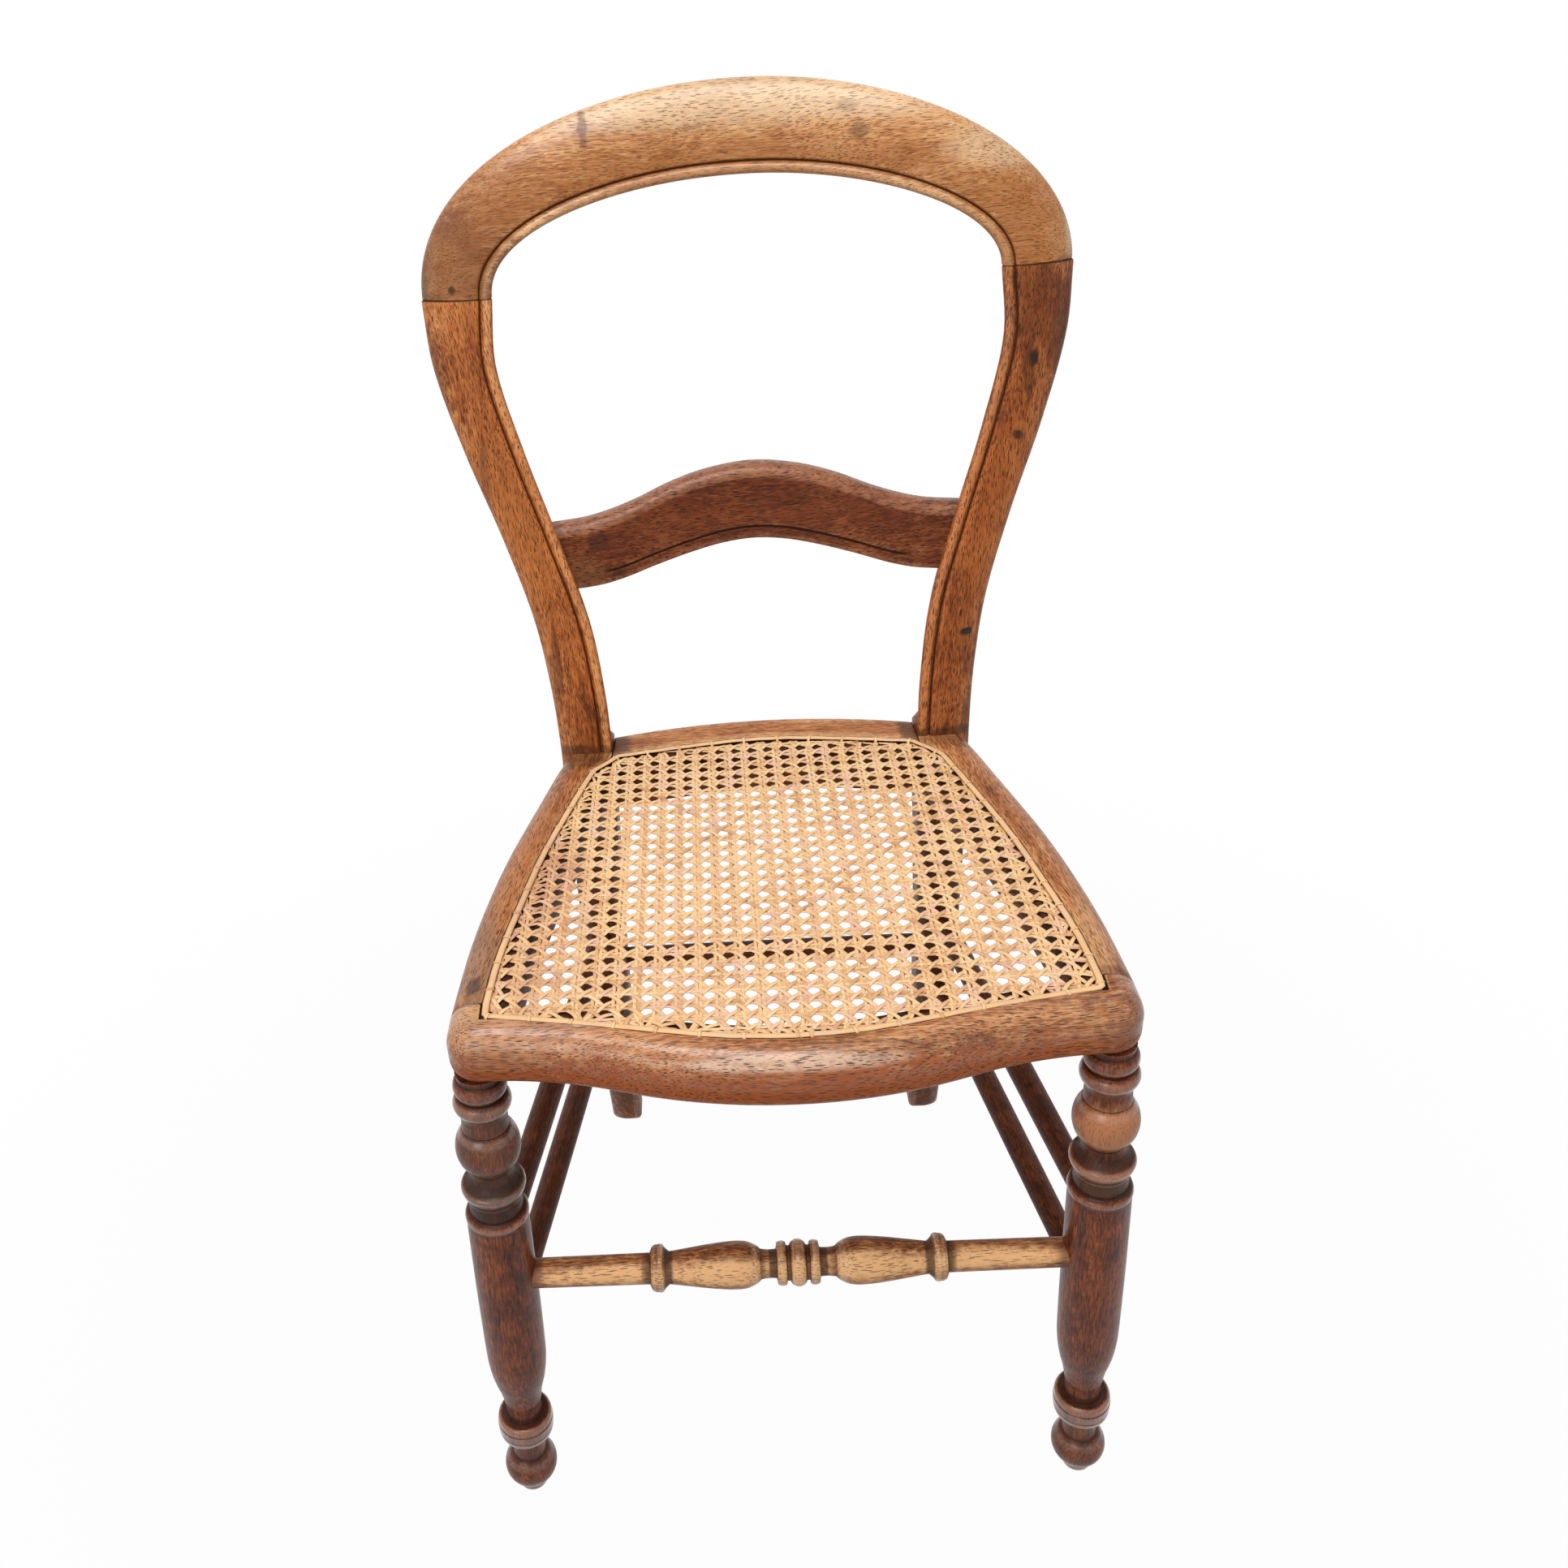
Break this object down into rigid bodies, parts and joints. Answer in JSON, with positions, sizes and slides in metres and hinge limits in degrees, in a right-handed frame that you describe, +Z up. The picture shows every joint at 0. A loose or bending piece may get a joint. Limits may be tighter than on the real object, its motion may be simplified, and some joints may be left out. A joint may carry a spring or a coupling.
{
  "type": "dining chair",
  "caption": "Wooden balloon-back dining chair with an arched crest and middle rail, a hand-caned seat in a shaped frame, turned front legs, sabre rear legs and stretchers.",
  "frame": {"origin": "on the floor under the middle of the whole chair", "axes": "+Z up, +X to the sitter's right side as the chair is seen from the front, front of the chair towards -Y"},
  "size_m": [0.46, 0.4998, 0.905],
  "materials": {
    "crest_wood": "worn satin varnish, golden brown",
    "post_wood": "worn satin varnish, red-brown",
    "frame_wood": "worn satin varnish, mid brown",
    "leg_wood": "worn satin varnish, dark red-brown",
    "stretcher_wood": "worn satin varnish, brown",
    "dowel_wood": "bare wood",
    "cane": "glossy natural cane skin",
    "binder_cane": "glossy natural cane skin"
  },
  "bodies": {
    "root": {"crest_rail": "crest_wood", "mid_rail": "frame_wood", "front_seat_rail": "frame_wood", "left_seat_rail": "frame_wood", "right_seat_rail": "frame_wood", "back_seat_rail": "frame_wood", "left_back_post": "post_wood", "right_back_post": "post_wood", "left_front_leg": "leg_wood", "right_front_leg": "leg_wood", "front_stretcher": "stretcher_wood", "rear_stretcher": "stretcher_wood", "left_upper_stretcher": "stretcher_wood", "right_upper_stretcher": "stretcher_wood", "left_lower_stretcher": "stretcher_wood", "right_lower_stretcher": "stretcher_wood", "crest_dowels": "dowel_wood", "cane_panel": "cane", "cane_binder": "binder_cane", "cane_pegs": "dowel_wood"}
  },
  "joints": []
}
